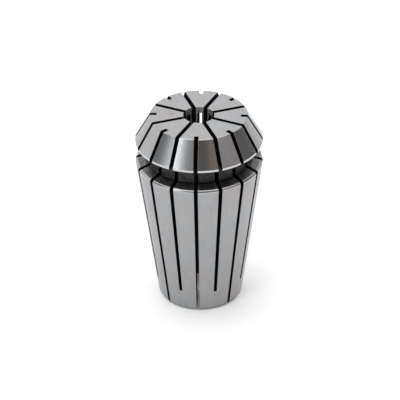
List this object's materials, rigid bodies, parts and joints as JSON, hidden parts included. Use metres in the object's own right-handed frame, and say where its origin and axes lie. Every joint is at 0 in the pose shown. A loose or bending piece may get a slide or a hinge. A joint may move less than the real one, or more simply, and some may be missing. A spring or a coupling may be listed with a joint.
{
  "type": "er collet",
  "caption": "Slotted spring collet with a long taper, a snap groove and a short conical nose, for gripping a round tool shank.",
  "frame": {"origin": "centre of the small rear end, on the axis", "axes": "+Z along the bore axis, towards the front face; -Y through the middle of one rear slot"},
  "size_m": [0.017, 0.017, 0.0275],
  "materials": {
    "collet": "fine ground spring steel, darker in the groove and slots"
  },
  "bodies": {
    "root": {"collet": "collet"}
  },
  "joints": []
}
